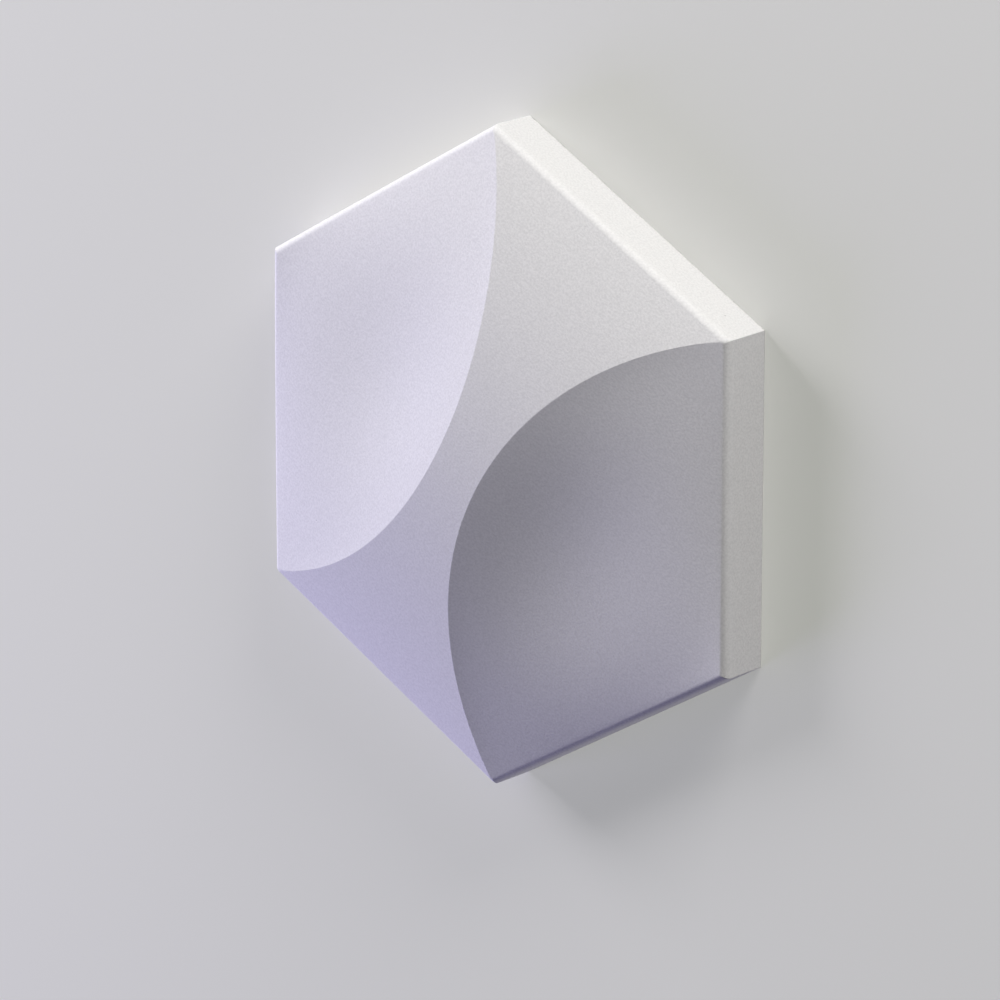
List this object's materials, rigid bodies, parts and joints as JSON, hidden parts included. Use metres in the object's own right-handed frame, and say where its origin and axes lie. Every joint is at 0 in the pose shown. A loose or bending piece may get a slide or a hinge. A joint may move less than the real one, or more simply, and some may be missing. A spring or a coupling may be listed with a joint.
{
  "type": "hexagonal gypsum wall tile",
  "caption": "Hexagonal cast gypsum relief tile with a vaulted band between two concave scoops and a rounded rim, for covering a wall edge to edge.",
  "frame": {"origin": "middle of the flat back, on the surface that the tile lies on", "axes": "+Z out of the face, +X through the outer corner of one scoop, +Y across the flats along the vaulted band"},
  "size_m": [0.2, 0.1732, 0.0335],
  "materials": {
    "gypsum": "matt white cast gypsum plaster, unpainted"
  },
  "bodies": {
    "root": {"gypsum_tile": "gypsum"}
  },
  "joints": []
}
